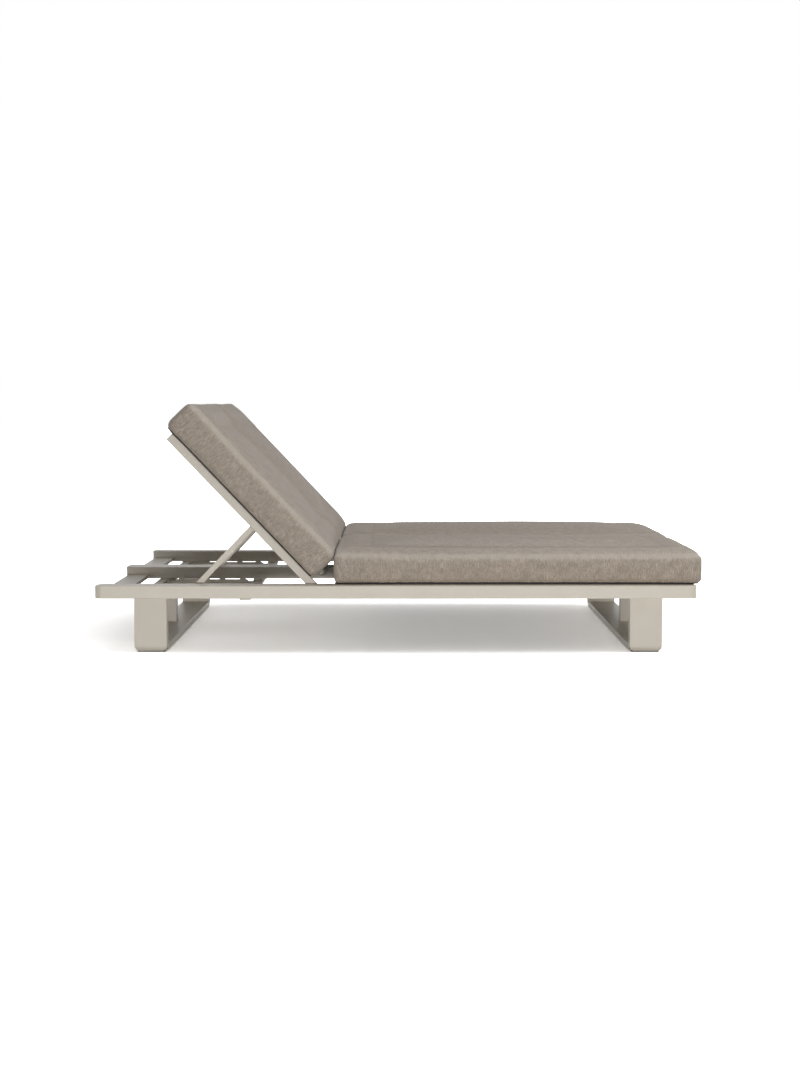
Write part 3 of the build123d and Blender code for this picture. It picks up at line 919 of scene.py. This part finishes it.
# %% Stitches along a line
stitch_tree, given = new_tree("stitches_along_a_line", ["Pitch", "Length", "Thickness"])
curve = add_node(stitch_tree, "GeometryNodeMeshToCurve", {"Mesh": given.outputs["Geometry"]})
marks = add_node(
    stitch_tree,
    "GeometryNodeCurveToPoints",
    {"Curve": curve.outputs["Curve"], "Length": given.outputs["Pitch"]},
    mode="LENGTH",
)
bead = add_node(stitch_tree, "GeometryNodeMeshUVSphere", {"Segments": 6, "Rings": 4, "Radius": 0.5})
drawn = add_node(
    stitch_tree,
    "ShaderNodeCombineXYZ",
    {
        "X": given.outputs["Length"],
        "Y": given.outputs["Thickness"],
        "Z": given.outputs["Thickness"],
    },
)
turned = add_node(
    stitch_tree, "FunctionNodeAlignRotationToVector", {"Vector": marks.outputs["Tangent"]}, axis="X"
)
sewn = add_node(
    stitch_tree,
    "GeometryNodeInstanceOnPoints",
    {
        "Points": marks.outputs["Points"],
        "Instance": bead.outputs["Mesh"],
        "Rotation": turned.outputs["Rotation"],
        "Scale": drawn.outputs["Vector"],
    },
)
print("stitch tree has", len(stitch_tree.nodes), "nodes")

# %% [markdown]
# The thread is a bonded polyester, a little paler than the cloth, twisted tight, with a soft sheen.
# The binding is a folded tape, coloured near black as painted shade. It covers the seam between the
# border and the base, and its painted shade draws the thin dark line of the shadow along the bottom
# of each cushion.

# %% Thread and binding
thread, tree, shader = new_material("polyester_thread_pale")
place = add_node(tree, "ShaderNodeTexCoord").outputs["Object"]
twist = noise_cells(tree, place, 0.0008, 1.0)
spun = {"Base Color": blended(tree, twist, "BDB3A6", "D8D0C4"), "Roughness": 0.55}
fill(tree, shader, spun)

# The tape itself is real, but its near-black colour is painted shade for the contact shadow under
# each cushion.
binding_tape_painted_shade, tree, shader = new_material("polyester_binding_painted_shade")
place = add_node(tree, "ShaderNodeTexCoord").outputs["Object"]
rib = noise_cells(tree, place, 0.0012, 2.0)
woven = {
    "Base Color": blended(tree, rib, "1B1714", "2C2622"),
    "Normal": relief(tree, rib, 0.5, 0.0004),
    "Roughness": 0.9,
    "Specular IOR Level": 0.2,
}
fill(tree, shader, woven)

# %% Stitches and binding on every cushion
close_tree(stitch_tree, sewn.outputs["Instances"], thread)
binding_tree = cord_tree("binding_along_a_seam", binding_tape_painted_shade)
stitch_sizes = {"Pitch": 0.0095, "Length": 0.0064, "Thickness": 0.0012}
binding_sizes = {"Radius": 0.0019, "Step": 0.005, "Ripple": 0.04, "Ripple Length": 0.023}
stitch_inset, stitch_proud = 0.014, 0.0002
binding_inset, binding_height, binding_proud = 0.004, 0.0025, 0.0004
for (kind, bed), cushion in cushions.items():
    mirror, centre = bed == "far", bed_centre if bed == "far" else -bed_centre
    body = "frame" if kind == "seat" else f"back_cushion_{bed}"
    seam = seam_line(sizes[kind], True, stitch_inset)
    rows = [(on_the_cloth(seam, kind, cushion.data, mirror, centre, stitch_proud), True)]
    edge = seam_line(sizes[kind], False, binding_inset)
    edge[:, 2] = binding_height
    bands = [(on_the_cloth(edge, kind, cushion.data, mirror, centre, binding_proud), True)]
    for name, lines, tree, values in (
        (f"{kind}_stitches_{bed}", rows, stitch_tree, stitch_sizes),
        (f"{kind}_binding_{bed}", bands, binding_tree, binding_sizes),
    ):
        piece = grown(name, lines, tree, values)
        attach(piece, body)

# %% [markdown]
# The frame is welded, and powder coat rounds the beads but doesn't hide them. A bead is a rippled
# cord half sunk in the corner where two tubes meet. The corners are found on the frame's own
# pieces: where a slat or bar ends on a face, its end edges say where the bead runs.


# %% Where the welds run
def node_points(name):
    """All the points of a frame piece, where it stands."""
    node = nodes[name]
    turn = np.array(node.matrix_world)
    return to_array(node.data) @ turn[:3, :3].T + turn[:3, 3]


def node_box(name):
    """The lowest and highest x, y and z of a frame piece, where it stands."""
    points = node_points(name)
    return points.min(axis=0), points.max(axis=0)


def runs_at(points, face, along):
    """The spans along a direction of the separate bars that end at this y."""
    same, gap = 0.0003, 0.03
    at_face = points[np.abs(points[:, 1] - face) < same]
    steps = np.sort(at_face @ along)
    breaks = np.nonzero(np.diff(steps) > gap)[0]
    return list(zip([steps[0], *steps[breaks + 1]], [*steps[breaks], steps[-1]]))


def end_beads(name, faces, origin, along, above, sides=("low",)):
    """Beads across the ends of a piece's bars, on their lower or upper edges, at these faces."""
    trim = 0.002
    origin, along, above = np.array(origin), np.array(along), np.array(above)
    points = node_points(name) - origin
    height = points @ above
    lines = []
    for face in faces:
        for a, b in runs_at(points, face, along):
            for side in sides:
                level = height.min() if side == "low" else height.max()
                pair = [origin + along * step + above * level for step in (a + trim, b - trim)]
                for spot in pair:
                    spot[1] = face
                lines.append((pair, False))
    return lines


def three_sided(x_span, y_from, y_to, level):
    """A bead round the free three sides of a bar that passes under a rail's edge."""
    x0, x1 = x_span
    return ([(x0, y_from, level), (x0, y_to, level), (x1, y_to, level), (x1, y_from, level)], False)


def boxed(x_span, y_span, level):
    """A bead round a post."""
    (x0, x1), (y0, y1) = x_span, y_span
    return ([(x0, y0, level), (x1, y0, level), (x1, y1, level), (x0, y1, level)], True)


# %% Weld beads
bead_tree = cord_tree("weld_bead", powder_coat)
bead_sizes = {"Radius": 0.0021, "Step": 0.0011, "Ripple": 0.16, "Ripple Length": 0.0042}
floor_up, foot_way = (0.0, 0.0, 1.0), (1.0, 0.0, 0.0)
rail_face, middle_face, rail_bottom = 0.670, 0.054, 0.188
outer_bar_face, inner_bar_face = 0.6447, 0.0793
both_edges = ("low", "high")
beads = {"frame": [], "back_near": [], "back_far": []}
for leg in ("head", "foot"):
    low, high = node_box(f"{leg}_leg_middle_post")
    for level in (low[2], high[2]):
        beads["frame"].append(boxed((low[0], high[0]), (low[1], high[1]), level))
for bed, sign in (("near", -1), ("far", 1)):
    for leg in ("head", "foot"):
        low, high = node_box(f"{leg}_leg_upright_{bed}")
        span, outer = (low[0], high[0]), low[1] if sign < 0 else high[1]
        beads["frame"].append(three_sided(span, sign * rail_face, outer, rail_bottom))
    faces = (sign * rail_face, sign * middle_face)
    level_way = ((0, 0, 0), foot_way, floor_up)
    beads["frame"] += end_beads(f"seat_slats_{bed}", faces, *level_way)
    beads["frame"] += end_beads(f"head_slat_{bed}", faces, *level_way, both_edges)
    low, high = node_box(f"tray_foot_bar_{bed}")
    span = (low[0], high[0])
    ends = (low[1], high[1]) if sign < 0 else (high[1], low[1])
    for face, end in zip(faces, ends):
        beads["frame"].append(three_sided(span, face, end, rail_bottom))
    bar_faces = (sign * outer_bar_face, sign * inner_bar_face)
    sloping_way = (pivot, up_the_back, off_the_back)
    for name in ("back_slats", "back_top_bar"):
        beads[f"back_{bed}"] += end_beads(f"{name}_{bed}", bar_faces, *sloping_way, both_edges)
for body, lines in beads.items():
    piece = grown(f"weld_beads_{body}", lines, bead_tree, bead_sizes)
    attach(piece, body)
